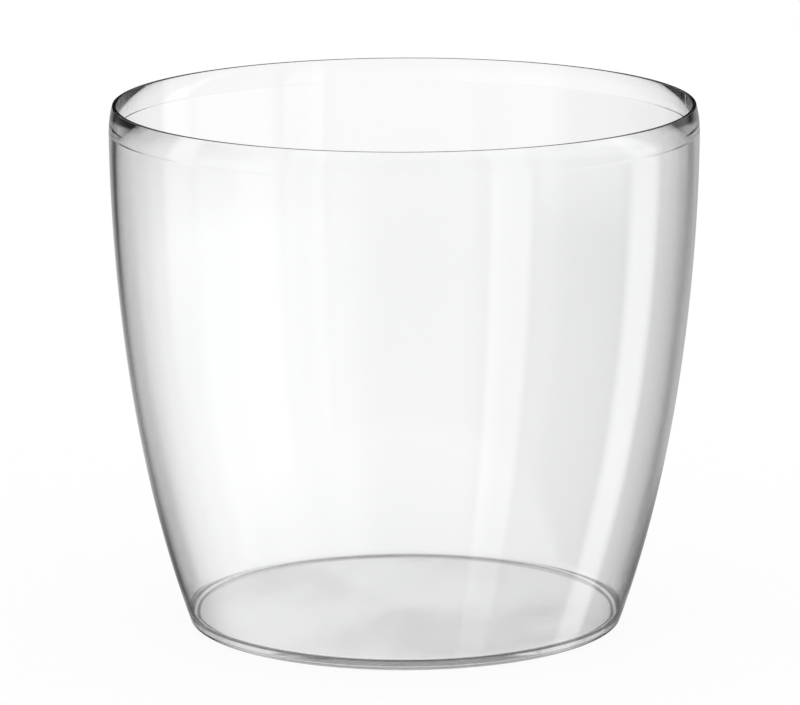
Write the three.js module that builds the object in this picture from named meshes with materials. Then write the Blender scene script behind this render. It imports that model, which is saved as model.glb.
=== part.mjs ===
// Clear plant pot: one round vessel moulded in clear plastic. It stands on a low foot ring under a
// flat floor, its wall opens in one smooth curve to the widest line, and a short band above that
// turns in to a flat lip. The inside is upright near the mouth, so that it comes off the core, and
// so the wall is thickest at the widest line.
// Millimetres, +Z up. The pot stands on z = 0 and its axis is the Z axis.
import * as THREE from "three";

// Driving dimensions of the outside
const OVERALL_HEIGHT = 196.5;
const WIDEST_DIAMETER = 220;
const BAND_HEIGHT = 9.3;
const BAND_TURN_IN = 1.4;
const BASE_DIAMETER = 162.8;
const BASE_LEAN = THREE.MathUtils.degToRad(19.5);
const BASE_HANDLE = 74.5;
const WIDEST_HANDLE = 27;

// Driving dimensions of the inside
const BASE_WALL = 1.1;
const THIN_WALL = 0.86;
const THIN_HEIGHT = 62;
const UPRIGHT_DEPTH = 17;
const FLOOR = 1.7;
const FLOOR_FILLET = 2.6;
const LIP_WALL = 1.4;
const LIP_ROUNDING = 0.25;

// Driving dimensions of the foot ring
const FOOT_HEIGHT = 1.7;
const FOOT_WIDTH = 2.4;
const FOOT_DRAFT = THREE.MathUtils.degToRad(15);
const FOOT_ROUNDING = 0.8;
const FOOT_INNER_ROUNDING = 0.3;
const RECESS_FILLET = 0.8;

// How finely the round form is cut into flats
const TURN_SEGMENTS = 96;
const WALL_STEPS = 11;
const BAND_STEPS = 4;
const CORNER_STEPS = 3;
const EDGE_STEPS = 2;

const widest = WIDEST_DIAMETER / 2;
const widestHeight = OVERALL_HEIGHT - BAND_HEIGHT;
const lip = widest - BAND_TURN_IN;
const mouth = lip - LIP_WALL;
const base = BASE_DIAMETER / 2;
const uprightFrom = OVERALL_HEIGHT - UPRIGHT_DEPTH;
const floorTop = FOOT_HEIGHT + FLOOR;

// The wall's outer line leaves the base leaning out and arrives upright at the widest line.
const outerLine = new THREE.CubicBezierCurve(
  new THREE.Vector2(base, 0),
  new THREE.Vector2(base + BASE_HANDLE * Math.tan(BASE_LEAN), BASE_HANDLE),
  new THREE.Vector2(widest, widestHeight - WIDEST_HANDLE),
  new THREE.Vector2(widest, widestHeight),
);

// The parameter at which the outer line reaches a height.
function parameterAtHeight(height) {
  let low = 0;
  let high = 1;
  for (let halving = 0; halving < 40; halving += 1) {
    const middle = (low + high) / 2;
    if (outerLine.getPoint(middle).y < height) {
      low = middle;
    } else {
      high = middle;
    }
  }
  return (low + high) / 2;
}

const uprightStart = parameterAtHeight(uprightFrom);
const uprightWall = outerLine.getPoint(uprightStart).x - mouth;
const uprightTangent = outerLine.getTangent(uprightStart);
const baseWall = BASE_WALL / Math.cos(BASE_LEAN);

// The wall's thickness at a height, measured level. It falls from the base to the thin place and
// grows from there, so that the inside arrives upright where its straight stretch starts.
function wallAt(height) {
  if (height < THIN_HEIGHT) {
    return THREE.MathUtils.lerp(baseWall, THIN_WALL, THREE.MathUtils.smoothstep(height, 0, THIN_HEIGHT));
  }
  const rise = uprightFrom - THIN_HEIGHT;
  const share = (height - THIN_HEIGHT) / rise;
  const lean = uprightTangent.x / uprightTangent.y;
  const grown = THREE.MathUtils.lerp(THIN_WALL, uprightWall, share ** 2 * (3 - 2 * share));
  return grown + lean * rise * (share ** 3 - share ** 2);
}

// Points of the outer line between two of its parameters.
function outerPoints(from, to) {
  const points = [];
  for (let step = 0; step <= WALL_STEPS; step += 1) {
    points.push(outerLine.getPoint(THREE.MathUtils.lerp(from, to, step / WALL_STEPS)));
  }
  return points;
}

// Points of a circular arc.
function arcPoints(centre, radius, fromAngle, toAngle, steps) {
  const points = [];
  for (let step = 0; step <= steps; step += 1) {
    const angle = THREE.MathUtils.lerp(fromAngle, toAngle, step / steps);
    points.push(new THREE.Vector2(centre.x + radius * Math.cos(angle), centre.y + radius * Math.sin(angle)));
  }
  return points;
}

// How far from a sharp corner its rounding starts, where a level line meets one that leans.
function cornerReach(radius, lean) {
  return radius * Math.tan((Math.PI / 2 - lean) / 2);
}

// The floor is raised on a foot ring, and the ring's inner side leans so that it leaves the mould.
function undersidePoints() {
  const ringInside = base - FOOT_WIDTH;
  const recessCorner = ringInside - FOOT_HEIGHT * Math.tan(FOOT_DRAFT);
  const recessEdge = recessCorner - cornerReach(RECESS_FILLET, FOOT_DRAFT);
  const fillet = new THREE.Vector2(recessEdge, FOOT_HEIGHT - RECESS_FILLET);
  const innerEdge = ringInside + cornerReach(FOOT_INNER_ROUNDING, FOOT_DRAFT);
  const inner = new THREE.Vector2(innerEdge, FOOT_INNER_ROUNDING);
  const outer = new THREE.Vector2(base - cornerReach(FOOT_ROUNDING, BASE_LEAN), FOOT_ROUNDING);
  return [
    new THREE.Vector2(0, FOOT_HEIGHT),
    ...arcPoints(fillet, RECESS_FILLET, Math.PI / 2, FOOT_DRAFT, CORNER_STEPS),
    ...arcPoints(inner, FOOT_INNER_ROUNDING, Math.PI + FOOT_DRAFT, Math.PI * 1.5, EDGE_STEPS),
    ...arcPoints(outer, FOOT_ROUNDING, -Math.PI / 2, -BASE_LEAN, CORNER_STEPS),
  ];
}

function outsidePoints() {
  const footRoundingTop = cornerReach(FOOT_ROUNDING, BASE_LEAN) * Math.cos(BASE_LEAN);
  return outerPoints(parameterAtHeight(footRoundingTop), 1).slice(1);
}

// The band's outer face is an arc that leaves the widest line upright. It runs into the flat lip
// through a small rounding, and so does the upright inside.
function rimPoints() {
  const arcRadius = (BAND_TURN_IN ** 2 + BAND_HEIGHT ** 2) / (2 * BAND_TURN_IN);
  const arcCentre = new THREE.Vector2(widest - arcRadius, widestHeight);
  const arcTurn = Math.atan2(BAND_HEIGHT, arcRadius - BAND_TURN_IN);
  const reach = cornerReach(LIP_ROUNDING, arcTurn);
  const roundingHeight = OVERALL_HEIGHT - LIP_ROUNDING;
  const outerCentre = new THREE.Vector2(lip - reach, roundingHeight);
  const innerCentre = new THREE.Vector2(mouth + LIP_ROUNDING, roundingHeight);
  return [
    ...arcPoints(arcCentre, arcRadius, 0, arcTurn - reach / arcRadius, BAND_STEPS).slice(1, -1),
    ...arcPoints(outerCentre, LIP_ROUNDING, arcTurn, Math.PI / 2, EDGE_STEPS),
    ...arcPoints(innerCentre, LIP_ROUNDING, Math.PI / 2, Math.PI, EDGE_STEPS),
  ];
}

function insidePoints() {
  const filletTop = floorTop + cornerReach(FLOOR_FILLET, BASE_LEAN) * Math.cos(BASE_LEAN);
  const points = outerPoints(parameterAtHeight(filletTop), uprightStart);
  return points
    .map((point) => new THREE.Vector2(point.x - wallAt(point.y), point.y))
    .reverse()
    .slice(0, -1);
}

function floorPoints() {
  const corner = base - baseWall + floorTop * Math.tan(BASE_LEAN);
  const edge = corner - cornerReach(FLOOR_FILLET, BASE_LEAN);
  const centre = new THREE.Vector2(edge, floorTop + FLOOR_FILLET);
  const fillet = arcPoints(centre, FLOOR_FILLET, -BASE_LEAN, -Math.PI / 2, CORNER_STEPS);
  return [...fillet, new THREE.Vector2(0, floorTop)];
}

// The profile runs from the axis under the floor, up the outside, over the lip and back down inside.
function buildPot() {
  const profile = [
    ...undersidePoints(),
    ...outsidePoints(),
    ...rimPoints(),
    ...insidePoints(),
    ...floorPoints(),
  ];
  const geometry = new THREE.LatheGeometry(profile, TURN_SEGMENTS);
  geometry.rotateX(Math.PI / 2);
  const clearPlastic = new THREE.MeshStandardMaterial({
    color: 0xf3f5f5,
    roughness: 0.05,
    metalness: 0,
    transparent: true,
    opacity: 0.35,
  });
  const mesh = new THREE.Mesh(geometry, clearPlastic);
  mesh.name = "pot";
  return mesh;
}

const clearPlantPot = new THREE.Group();
clearPlantPot.add(buildPot());

export default clearPlantPot;
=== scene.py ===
# %% [markdown]
# A clear plant pot
# The pot is one injection moulding in clear plastic: a flat floor on a low foot ring, a wall that
# opens in one smooth curve, and a short band above the widest line that turns in to a flat lip.
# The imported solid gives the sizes. This notebook models the same vessel again with a much finer
# surface, because clear plastic shows every facet twice, and then dresses and lights it.

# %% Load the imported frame
import math

import bmesh
import bpy
from mathutils import Matrix, Vector
from mathutils.geometry import interpolate_bezier


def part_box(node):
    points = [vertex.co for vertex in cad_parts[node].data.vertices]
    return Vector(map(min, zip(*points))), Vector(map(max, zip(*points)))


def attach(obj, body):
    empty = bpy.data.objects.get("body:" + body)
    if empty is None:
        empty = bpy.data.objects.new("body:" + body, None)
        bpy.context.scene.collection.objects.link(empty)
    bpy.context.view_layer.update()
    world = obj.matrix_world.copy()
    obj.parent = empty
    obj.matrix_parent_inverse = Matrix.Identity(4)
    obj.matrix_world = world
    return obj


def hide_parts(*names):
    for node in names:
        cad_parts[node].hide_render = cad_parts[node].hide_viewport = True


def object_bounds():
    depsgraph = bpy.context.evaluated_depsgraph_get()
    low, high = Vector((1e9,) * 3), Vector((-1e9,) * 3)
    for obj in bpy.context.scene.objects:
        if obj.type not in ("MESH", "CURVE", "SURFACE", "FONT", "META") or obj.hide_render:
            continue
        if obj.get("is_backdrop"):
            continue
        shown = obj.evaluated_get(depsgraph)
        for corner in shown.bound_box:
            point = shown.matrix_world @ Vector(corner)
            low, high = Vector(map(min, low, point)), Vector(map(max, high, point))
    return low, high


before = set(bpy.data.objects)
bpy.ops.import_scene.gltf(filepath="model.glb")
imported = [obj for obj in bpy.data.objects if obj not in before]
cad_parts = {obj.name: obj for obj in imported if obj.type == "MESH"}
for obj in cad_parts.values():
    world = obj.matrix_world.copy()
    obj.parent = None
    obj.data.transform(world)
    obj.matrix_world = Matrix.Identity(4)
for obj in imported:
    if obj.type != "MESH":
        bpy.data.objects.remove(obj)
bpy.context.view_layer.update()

pot_low, pot_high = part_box("pot")
print("solid from", tuple(pot_low), "to", tuple(pot_high))

# %% [markdown]
# The sizes
# A moulded pot is drawn as half a section, so the sizes are those of the section, in metres.
# The overall height and the widest diameter come from the frame. The rest repeat the sizes that
# the solid was built from, so that the fine surface lies on the solid.

# %% Sizes of the section
MM = 0.001
height = pot_high[2] - pot_low[2]
widest = (pot_high[0] - pot_low[0]) / 2
band_height = 9.3 * MM
band_turn_in = 1.4 * MM
base_radius = 81.4 * MM
base_lean = math.radians(19.5)
base_handle = 74.5 * MM
widest_handle = 27 * MM

base_wall = 1.1 * MM
thin_wall = 0.86 * MM
thin_height = 62 * MM
upright_depth = 17 * MM
floor_wall = 1.7 * MM
floor_fillet = 2.6 * MM
lip_wall = 1.4 * MM
lip_rounding = 0.25 * MM

foot_height = 1.7 * MM
foot_width = 2.4 * MM
foot_draft = math.radians(15)
foot_rounding = 0.8 * MM
foot_inner_rounding = 0.3 * MM
recess_fillet = 0.8 * MM

widest_height = height - band_height
lip = widest - band_turn_in
mouth = lip - lip_wall
upright_from = height - upright_depth
floor_top = foot_height + floor_wall
print("height", round(height / MM, 1), "mm, widest", round(2 * widest / MM, 1), "mm")

# %% [markdown]
# The wall's two faces
# The outside could be a stack of rings set by eye, but a moulder draws it as one curve. Here it is
# a single cubic curve: it leaves the base leaning out, and arrives upright at the widest line.
# The inside could be a second curve beside it, but two curves so close cross as soon as one of
# them changes. So it is the outside less the wall's thickness, which follows a rule. The wall is
# thinnest some way above the base. It grows from there, because the inside may not be wider than
# the mouth, or the core could not be pulled out, and turns upright some way below the lip. The
# thick wall there draws the dark upright lines just inside the pot's outline.

# %% Points along the wall
WALL_RINGS = 60


def section(radius, up):
    return Vector((radius, 0, up))


outside_line = interpolate_bezier(
    section(base_radius, 0),
    section(base_radius + base_handle * math.tan(base_lean), base_handle),
    section(widest, widest_height - widest_handle),
    section(widest, widest_height),
    WALL_RINGS,
)
first_upright = next(index for index, point in enumerate(outside_line) if point.z > upright_from)
below, above = outside_line[first_upright - 1:first_upright + 1]
upright_lean = (above.x - below.x) / (above.z - below.z)
upright_wall = below.x + upright_lean * (upright_from - below.z) - mouth
base_wall_level = base_wall / math.cos(base_lean)


def wall_at(up):
    """The wall's thickness at a height, measured level."""
    if up < thin_height:
        share = up / thin_height
        return base_wall_level + (thin_wall - base_wall_level) * share**2 * (3 - 2 * share)
    rise = upright_from - thin_height
    share = (up - thin_height) / rise
    grown = thin_wall + (upright_wall - thin_wall) * share**2 * (3 - 2 * share)
    return grown + upright_lean * rise * (share**3 - share**2)


inside_line = [section(point.x - wall_at(point.z), point.z) for point in outside_line[:first_upright]]
inside_line.append(section(mouth, upright_from))
print("wall", round(thin_wall / MM, 2), "mm thick at its thinnest place, and",
      round(upright_wall / MM, 2), "mm where the inside turns upright")

# %% [markdown]
# The parting line
# A fine line runs all round the pot at its widest height, where the lower part of the mould met the
# two side parts that form the band. It could be painted on as a dark ring, but on clear plastic it
# shows only because it bends the light. So it is a real step in the surface, a few hundredths of a
# millimetre deep, with a ring close to it on either side that keeps the rest of the wall smooth.

# %% Points of the parting line
parting_step = 0.07 * MM
step_height = 0.12 * MM
line_guard = 0.35 * MM
band_bottom = widest - parting_step
parting_line = [
    section(widest, widest_height - line_guard - step_height),
    section(widest, widest_height - step_height),
    section(band_bottom, widest_height),
    section(band_bottom, widest_height + line_guard),
]
print("parting line is a step of", round(parting_step / MM, 2), "mm")

# %% [markdown]
# The band and the lip
# Above the widest line the outside turns in, along an arc that leaves that line upright, and it
# ends in a flat lip. The inside stays upright, so the band is a wedge that bends light more and
# more towards the lip. The lip's two edges are rounded a little, as the edges of a mould are.
# A bevel could do that, but it would round them in a few even steps. Here the roundings are arcs
# in the section, which run into the faces beside them without a corner.

# %% Points of the band and the lip
BAND_RINGS = 12
EDGE_RINGS = 8
edge_guard = 0.12 * MM


def arc(centre, radius, from_angle, to_angle, steps):
    points = []
    for step in range(steps + 1):
        angle = from_angle + (to_angle - from_angle) * step / steps
        points.append(centre + radius * section(math.cos(angle), math.sin(angle)))
    return points


def corner_reach(rounding, lean):
    """How far from a sharp corner its rounding starts, where a level line meets one that leans."""
    return rounding * math.tan((math.pi / 2 - lean) / 2)


turn_in = widest - parting_step - lip
arc_radius = (turn_in**2 + band_height**2) / (2 * turn_in)
arc_centre = section(band_bottom - arc_radius, widest_height)
arc_turn = math.atan2(band_height, arc_radius - turn_in)
outer_reach = corner_reach(lip_rounding, arc_turn)
arc_end = arc_turn - (outer_reach + edge_guard) / arc_radius
outer_edge = section(lip - outer_reach, height - lip_rounding)
inner_edge = section(mouth + lip_rounding, height - lip_rounding)
quarter = math.pi / 2

rim = [
    *arc(arc_centre, arc_radius, 0, arc_end, BAND_RINGS)[2:],
    *arc(outer_edge, lip_rounding, arc_turn, quarter, EDGE_RINGS),
    section(outer_edge.x - edge_guard, height),
    section(inner_edge.x + edge_guard, height),
    *arc(inner_edge, lip_rounding, quarter, math.pi, EDGE_RINGS),
    section(mouth, inner_edge.z - edge_guard),
    section(mouth, widest_height),
]
print("band turns in by", round(math.degrees(arc_turn), 1), "degrees over a radius of",
      round(arc_radius / MM, 1), "mm")

# %% [markdown]
# The foot ring
# A thin floor sinks a little in its middle as it cools, so it has to be raised on a low ring, or
# the pot would rock on it. Seen from the side, the floor is the dark band at the pot's base, and the
# ring is the light strip under it. The ring's inner side leans a few degrees, so that it leaves
# the mould. The flat underside gets a few rings on its way to the axis, and so does the floor above
# it, so that their faces are not long slivers.

# %% Points of the underside and the foot ring
FLAT_SHARES = (0, 0.2, 0.45, 0.7, 0.9)

ring_inside = base_radius - foot_width
recess_corner = ring_inside - foot_height * math.tan(foot_draft)
recess_edge = recess_corner - corner_reach(recess_fillet, foot_draft)
recess_centre = section(recess_edge, foot_height - recess_fillet)
ring_inner_edge = section(ring_inside + corner_reach(foot_inner_rounding, foot_draft), foot_inner_rounding)
ring_outer_edge = section(base_radius - corner_reach(foot_rounding, base_lean), foot_rounding)

underside = [section(recess_edge * share, foot_height) for share in FLAT_SHARES]
foot_ring = [
    section(recess_edge - edge_guard, foot_height),
    *arc(recess_centre, recess_fillet, quarter, foot_draft, EDGE_RINGS),
    *arc(ring_inner_edge, foot_inner_rounding, math.pi + foot_draft, 3 * quarter, EDGE_RINGS),
    section(ring_inner_edge.x + edge_guard, 0),
    section(ring_outer_edge.x - edge_guard, 0),
    *arc(ring_outer_edge, foot_rounding, -quarter, -base_lean, EDGE_RINGS),
]
stands_on = ring_outer_edge.x - ring_inner_edge.x
print("stands on a ring", round(stands_on / MM, 1), "mm wide")

# %% [markdown]
# The floor
# The floor inside is flat, and a wide fillet runs from it into the leaning wall. The fillet helps
# the melt to turn the corner, and it draws the dark ellipse at the bottom of the pot.

# %% Points of the floor
floor_guard = 0.5 * MM

floor_corner = base_radius - base_wall_level + floor_top * math.tan(base_lean)
floor_edge = section(floor_corner - corner_reach(floor_fillet, base_lean), floor_top + floor_fillet)
floor_arc = arc(floor_edge, floor_fillet, -base_lean, -quarter, EDGE_RINGS)
floor = [section(floor_edge.x - floor_guard, floor_top)]
floor += [section(floor_edge.x * share, floor_top) for share in reversed(FLAT_SHARES)]
print("floor", round(floor_wall / MM, 1), "mm thick, flat over", round(2 * floor_edge.x / MM, 1), "mm")

# %% [markdown]
# One section
# The stretches of points now follow each other round the section. Where the wall runs into the foot
# ring, the parting line or the fillet, its own rings would crowd the finer ones there, so those that
# come too close are left out.

# %% Join the points into one section
join_gap = 0.8 * MM


def between(points, low, high):
    return [point for point in points if low + join_gap < point.z < high - join_gap]


outline = [
    *underside,
    *foot_ring,
    *between(outside_line, foot_ring[-1].z, widest_height),
    *parting_line,
    *rim,
    *reversed(between(inside_line, floor_arc[0].z, widest_height)),
    *floor_arc,
    *floor,
]
print("section of", len(outline), "points")

# %% [markdown]
# Spinning the vessel
# The section is turned round the axis, as on a potter's wheel. The first and last points lie on
# the axis, so each closes into a pole once the doubles there are merged.

# %% Spin the section
TURN_STEPS = 320
vessel = bmesh.new()
corners = [vessel.verts.new(point) for point in outline]
sides = [vessel.edges.new(pair) for pair in zip(corners, corners[1:])]
bmesh.ops.spin(
    vessel,
    geom=corners + sides,
    cent=(0, 0, 0),
    axis=(0, 0, 1),
    angle=math.tau,
    steps=TURN_STEPS,
    use_merge=True,
    use_duplicate=False,
)
bmesh.ops.remove_doubles(vessel, verts=vessel.verts, dist=0.001 * MM)
bmesh.ops.recalc_face_normals(vessel, faces=vessel.faces)
open_edges = sum(1 for edge in vessel.edges if len(edge.link_faces) != 2)
plastic_volume = vessel.calc_volume(signed=True)

pot_mesh = bpy.data.meshes.new("clear_pot")
vessel.to_mesh(pot_mesh)
vessel.free()
for face in pot_mesh.polygons:
    face.use_smooth = True
clear_pot = bpy.data.objects.new("clear_pot", pot_mesh)
bpy.context.scene.collection.objects.link(clear_pot)
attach(clear_pot, "root")
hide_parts("pot")
print("faces", len(pot_mesh.polygons), "open edges", open_edges)
print("plastic", round(plastic_volume * 1e6, 1), "cm3")

# %% [markdown]
# A short way to write shader maths
# Finishes are built from small node trees. Placing and linking each node by hand hides the idea
# behind them, so one class wraps a node's socket and lets Python's own signs add the Math nodes.
# Everything that is not arithmetic comes from its node method, and rise is a short way to ask that
# method for a soft step.

# %% Shader maths
class Wire:
    """One socket of a node tree, which can be used in a sum."""

    def __init__(self, tree, socket=None):
        self.tree = tree
        self.socket = socket

    def node(self, kind, settings=None, inputs=None, output=0):
        """Add a node, set it up, feed its inputs, and return one of its outputs."""
        made = self.tree.nodes.new(kind)
        for name, value in (settings or {}).items():
            setattr(made, name, value)
        for name, value in (inputs or {}).items():
            if isinstance(value, Wire):
                self.tree.links.new(value.socket, made.inputs[name])
            else:
                made.inputs[name].default_value = value
        return Wire(self.tree, made.outputs[output] if made.outputs else None)

    def maths(self, operation, first, second=0.0):
        return self.node("ShaderNodeMath", {"operation": operation}, {0: first, 1: second})

    def __add__(self, other):
        return self.maths("ADD", self, other)

    def __radd__(self, other):
        return self.maths("ADD", other, self)

    def __sub__(self, other):
        return self.maths("SUBTRACT", self, other)

    def __rsub__(self, other):
        return self.maths("SUBTRACT", other, self)

    def __mul__(self, other):
        return self.maths("MULTIPLY", self, other)

    def __rmul__(self, other):
        return self.maths("MULTIPLY", other, self)

    def __truediv__(self, other):
        return self.maths("DIVIDE", self, other)

    def __pow__(self, other):
        return self.maths("POWER", self, other)

    def __abs__(self):
        return self.maths("ABSOLUTE", self)

    def rise(self, low, high):
        """Nought below low, one above high, and an even S between."""
        settings = {"interpolation_type": "SMOOTHSTEP"}
        inputs = {"Value": self, "From Min": low, "From Max": high}
        return self.node("ShaderNodeMapRange", settings, inputs)


def blank_tree(owner):
    owner.use_nodes = True
    owner.node_tree.nodes.clear()
    return Wire(owner.node_tree)


def axes_of(vector):
    return [vector.node("ShaderNodeSeparateXYZ", inputs={0: vector}, output=axis) for axis in range(3)]


print("maths ready")

# %% [markdown]
# Clear plastic
# The real pot is water clear and polished, so almost all of its look comes from how it bends and
# mirrors the studio. A mix of a see-through and a shiny shader would be cheaper, but it bends
# nothing, and then the lip, the parting line and the base would have no dark lines. So the
# shader is a true clear solid with the refraction of a styrene plastic.
# Moulded plastic is never optically flat. The melt leaves long shallow waves as it flows from the
# base up the wall, the mould's polish leaves a very fine skin, and handling leaves a faint haze
# of rub marks, most of all on the ring that the pot stands on. The underside of the floor is not
# polished like the rest: it is scuffed in patches, which is why the floor looks a little grey.

# %% Waves, skin, rub marks and scuffs
plastic = bpy.data.materials.new("clear_plastic")
bench = blank_tree(plastic)
place = bench.node("ShaderNodeTexCoord", output="Object")
x, y, z = axes_of(place)
from_axis = (x * x + y * y) ** 0.5


def grain(scale, stretch=(1, 1, 1), detail=2.0):
    """A noise between nought and one, with so many cells in a metre."""
    drawn = bench.node("ShaderNodeMapping", inputs={"Vector": place, "Scale": stretch})
    return bench.node("ShaderNodeTexNoise", inputs={"Vector": drawn, "Scale": scale, "Detail": detail})


wave_depth = 0.03 * MM
skin_depth = 0.0003 * MM
flow_wave = wave_depth * grain(26, stretch=(1, 1, 0.3), detail=1.0)
skin = skin_depth * grain(500)

polish = 0.012
clouding = 0.02
rubbing = 0.16
scuffing = 0.17
clouds = grain(38, detail=3.0)
on_foot = 1 - z.rise(0.05 * MM, 0.3 * MM)
rub_marks = grain(420, stretch=(1, 0.06, 1), detail=3.0).rise(0.52, 0.72)
underneath = 1 - z.rise(2 * MM, 2.2 * MM)
scuffs = grain(16, stretch=(1, 0.6, 1), detail=5.0).rise(0.35, 0.7)
haze = polish + clouding * clouds + rubbing * on_foot * rub_marks + scuffing * underneath * scuffs
print("roughness from", polish, "to", round(polish + clouding + rubbing + scuffing, 3))

# %% [markdown]
# Mould marks
# The band above the widest line turns in, so the mould has to open sideways to let go of it. Each
# half leaves an upright witness line on the band, on opposite sides of the pot. On the floor there
# is the faint ring of an ejector pin. These marks are less than a tenth of a millimetre high, so
# they go into the bump rather than into the mesh.

# %% Mould marks
split_turn = math.radians(10.6)
split_width = 0.45 * MM
split_depth = 0.08 * MM
ejector_x = 51.7 * MM
ejector_y = -9.9 * MM
ejector_radius = 6.5 * MM
ejector_width = 0.5 * MM
ejector_depth = 0.01 * MM

from_split = abs(x * math.sin(split_turn) - y * math.cos(split_turn))
on_outside = from_axis.rise(mouth + 0.4 * MM, mouth + 0.8 * MM)
on_band = z.rise(widest_height, widest_height + 0.3 * MM)
split_line = (1 - from_split.rise(0, split_width)) * on_band * on_outside
from_ejector = ((x - ejector_x) ** 2 + (y - ejector_y) ** 2) ** 0.5
ejector_ring = 1 - abs(from_ejector - ejector_radius).rise(0, ejector_width)
on_floor = z.rise(2 * MM, 3 * MM) * (1 - z.rise(3.6 * MM, 4 * MM))
relief = flow_wave + skin + split_depth * split_line + ejector_depth * ejector_ring * on_floor
print("split lines turned", round(math.degrees(split_turn), 1), "degrees, ejector ring",
      round(2 * ejector_radius / MM, 1), "mm across")

# %% [markdown]
# The finished plastic
# Waves, skin and marks are heights in metres, so one bump turns them all into slopes. Clear plastic
# is never quite without colour either, so a very faint grey comes and goes over the pot.

# %% Put the plastic together
surface = bench.node("ShaderNodeBump", inputs={"Strength": 1.0, "Distance": 1.0, "Height": relief})
faint_grey = (0.975, 0.98, 0.98, 1)
water_clear = (0.995, 0.995, 0.995, 1)
tint = bench.node(
    "ShaderNodeMix",
    {"data_type": "RGBA"},
    {"Factor": grain(9), "A": faint_grey, "B": water_clear},
    output="Result",
)
styrene_ior = 1.57
clear_solid = bench.node(
    "ShaderNodeBsdfPrincipled",
    inputs={
        "Base Color": tint,
        "Roughness": haze,
        "IOR": styrene_ior,
        "Transmission Weight": 1.0,
        "Normal": surface,
    },
)
bench.node("ShaderNodeOutputMaterial", inputs={"Surface": clear_solid})
pot_mesh.materials.append(plastic)
print("plastic has", len(plastic.node_tree.nodes), "nodes")

# %% [markdown]
# The camera
# The photograph looks down on the pot a little, from about two metres, through a long lens. The
# lens and the place were fitted to the pot's outline, its lip and its base, and they are written
# here as a real distance, height and tilt.

# %% Camera
camera_lens = 244.3
camera_place = Vector((-1.8 * MM, -1995.9 * MM, 524.2 * MM))
camera_tilt = math.radians(11.96)
camera_roll = math.radians(-0.16)
camera_data = bpy.data.cameras.new("camera")
camera_data.lens = camera_lens
camera_data.sensor_width = 36
camera_data.clip_start = 0.05
camera_data.clip_end = 50
camera = bpy.data.objects.new("camera", camera_data)
tilt = Matrix.Rotation(math.pi / 2 - camera_tilt, 4, "X")
roll = Matrix.Rotation(camera_roll, 4, "Z")
camera.matrix_world = Matrix.Translation(camera_place) @ tilt @ roll
bpy.context.scene.collection.objects.link(camera)
bpy.context.scene.camera = camera
print("camera at", round(camera_place.length, 2), "m")

# %% [markdown]
# The studio
# A clear thing is lit by what stands round it. In the photograph it stands in front of white, with
# tall soft panels at its left and right and dark gaps between them, and those gaps draw its edges.
# Overhead is one large soft light, which the pot's floor mirrors.
# The panels could be real lamps, but then they would stand in the way of the side views. So they
# are painted on the world. Paths that the plastic has mirrored see them, and so do those that it
# has only bent, where they leave upwards. Mirrored paths that leave straight down find less light,
# as there is under a table.
# The floor and everything else see an even white world of strength one.

# %% Panels of the world
world = bpy.data.worlds.new("studio")
studio = blank_tree(world)
aim = studio.node("ShaderNodeTexCoord", output="Generated")
aim_x, aim_y, aim_z = axes_of(aim)
flat = (aim_x * aim_x + aim_y * aim_y) ** 0.5

# Each panel: its direction from +X, its half width and the softness of its sides, all in degrees,
# then its brightness steeply down, less steeply down, just below the horizon and above it.
panels = {
    "backdrop": (85, 22, 9, 0.08, 0.5, 0.45, 0.02),
    "left_gap": (130, 12, 6, 0.1, 0.25, 0.28, 0.1),
    "right_gap": (42, 12, 6, 0.1, 0.1, 0.3, 0.6),
    "right_strip": (18, 8, 4, 1.3, 1.3, 1.1, 0.5),
    "right_fill": (345, 22, 6, 0.1, 0.05, 1.0, 1.0),
    "front_edge": (312, 8, 2, 0.9, 0.9, 0.85, 0.6),
    "front_fill": (271, 33, 10, 0.8, 0.8, 0.75, 0.45),
    "left_box": (218, 14, 8, 0.2, 0.2, 0.6, 0.4),
    "left_wide": (197, 36, 30, 1.25, 1.25, 0.1, 0.05),
}
past_steep = aim_z.rise(-0.38, -0.24)
past_low = aim_z.rise(-0.2, -0.155)
past_level = aim_z.rise(-0.1, 0.0)
light = 0.0
for direction, half_width, softness, steep, low, level, high in panels.values():
    turn = math.radians(direction)
    facing = (aim_x * math.cos(turn) + aim_y * math.sin(turn)) / flat
    edge_out = math.cos(math.radians(half_width + softness))
    edge_in = math.cos(math.radians(half_width - softness))
    brightness = steep + (low - steep) * past_steep + (level - low) * past_low + (high - level) * past_level
    light = light + facing.rise(edge_out, edge_in) * brightness

overhead_light = 0.75
overhead = aim_z.rise(0.19, 0.23)
light = light + overhead * (overhead_light - light)
print(len(panels), "panels and a light overhead")

# %% World
white = (1, 1, 1, 1)
mirrored = studio.node("ShaderNodeLightPath", output="Glossy Depth").rise(0.4, 0.6)
scattered = studio.node("ShaderNodeLightPath", output="Diffuse Depth").rise(0.4, 0.6)
through = studio.node("ShaderNodeLightPath", output="Is Transmission Ray")
bent_up = through * aim_z.rise(0.07, 0.17)
plain_light = 1 + bent_up * (light - 1)
seen_light = plain_light + mirrored * (light - plain_light)

lost_below = 0.7
straight_down = mirrored * (1 - aim_z.rise(-0.9, -0.4))
strength = (seen_light + scattered * (1 - seen_light)) * (1 - lost_below * straight_down)
backing = studio.node("ShaderNodeBackground", inputs={"Color": white, "Strength": strength})
studio.node("ShaderNodeOutputWorld", inputs={"Surface": backing})
bpy.context.scene.world = world
bpy.context.scene.view_settings.view_transform = "Standard"
print("light lost straight down", lost_below)

# %% [markdown]
# The floor
# The pot stands on a plain white sheet. A sheet lit by the world alone would turn grey far away, and
# its edge would show as a horizon. So it glows an even white, both for the camera and for what the
# plastic lets through. Close to the pot a tenth of it is paper lit by the world, which keeps the
# pot's faint shadow. Paths that the plastic has mirrored go through the sheet to the panels, which
# reach below it as they would round a small raised table.

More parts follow.
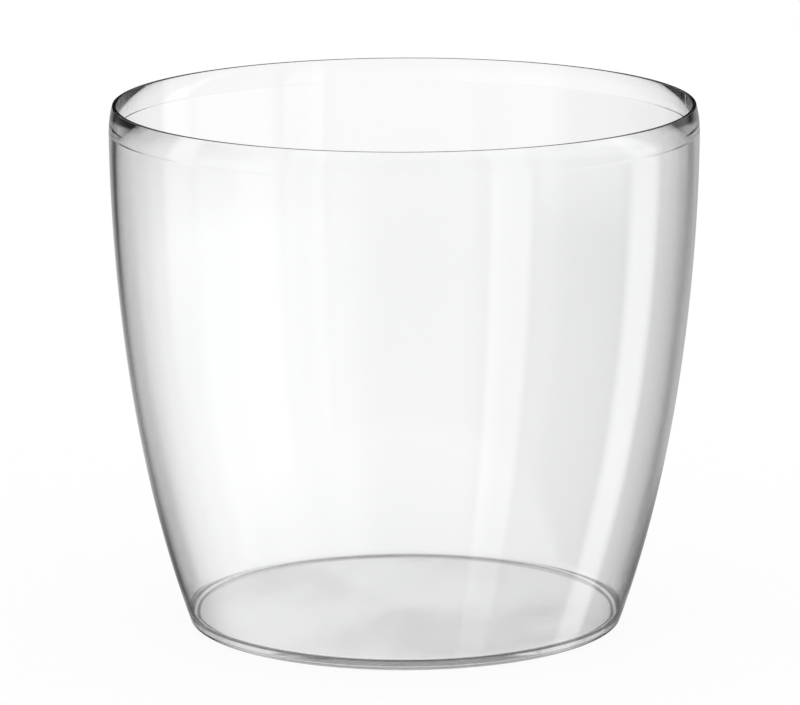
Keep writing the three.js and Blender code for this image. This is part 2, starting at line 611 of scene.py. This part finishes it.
# %% Floor
sheet_radius = 8.0
sheet_mesh = bpy.data.meshes.new("studio_floor")
sheet = bmesh.new()
bmesh.ops.create_circle(sheet, cap_ends=True, segments=96, radius=sheet_radius)
sheet.to_mesh(sheet_mesh)
sheet.free()
studio_floor = bpy.data.objects.new("studio_floor", sheet_mesh)
bpy.context.scene.collection.objects.link(studio_floor)
studio_floor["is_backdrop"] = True

floor_material = bpy.data.materials.new("white_sheet")
ground = blank_tree(floor_material)
ground_place = ground.node("ShaderNodeTexCoord", output="Object")
from_pot = ground.node("ShaderNodeVectorMath", {"operation": "LENGTH"}, {0: ground_place}, output="Value")
seen = ground.node("ShaderNodeLightPath", output="Is Camera Ray")
seen_through = ground.node("ShaderNodeLightPath", output="Is Transmission Ray")
seen_mirrored = ground.node("ShaderNodeLightPath", output="Is Glossy Ray")
reflections = ground.node("ShaderNodeLightPath", output="Glossy Depth")
looked_at = (seen + seen_through + seen_mirrored).rise(0.4, 0.6)
paper_share = 0.1
whiteness = looked_at * (1 - paper_share * (1 - from_pot.rise(0.1, 0.4)))
paper = ground.node("ShaderNodeBsdfDiffuse", inputs={"Color": (0.97, 0.97, 0.97, 1)})
glow = ground.node("ShaderNodeEmission", inputs={"Color": white, "Strength": 1.0})
sheet_face = ground.node("ShaderNodeMixShader", inputs={0: whiteness, 1: paper, 2: glow})
clear = ground.node("ShaderNodeBsdfTransparent")
face = ground.node("ShaderNodeMixShader", inputs={0: reflections.rise(0.4, 0.6), 1: sheet_face, 2: clear})
ground.node("ShaderNodeOutputMaterial", inputs={"Surface": face})
sheet_mesh.materials.append(floor_material)
print("white sheet", sheet_radius, "m in radius")

# %% [markdown]
# Light paths
# Light that enters the edge of the floor of the pot runs along inside it, bouncing between its two
# faces as in a light guide, and comes out on the far side. That takes more bounces than usual, and
# with too few of them the edge would show black spots.

# %% Light paths
most_bounces = 32
paths = bpy.context.scene.cycles
paths.max_bounces = most_bounces
paths.transmission_bounces = most_bounces
paths.glossy_bounces = most_bounces
print("up to", most_bounces, "bounces")

# %% [markdown]
# The box of the finished model is measured, leaving out the floor.

low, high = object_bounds()
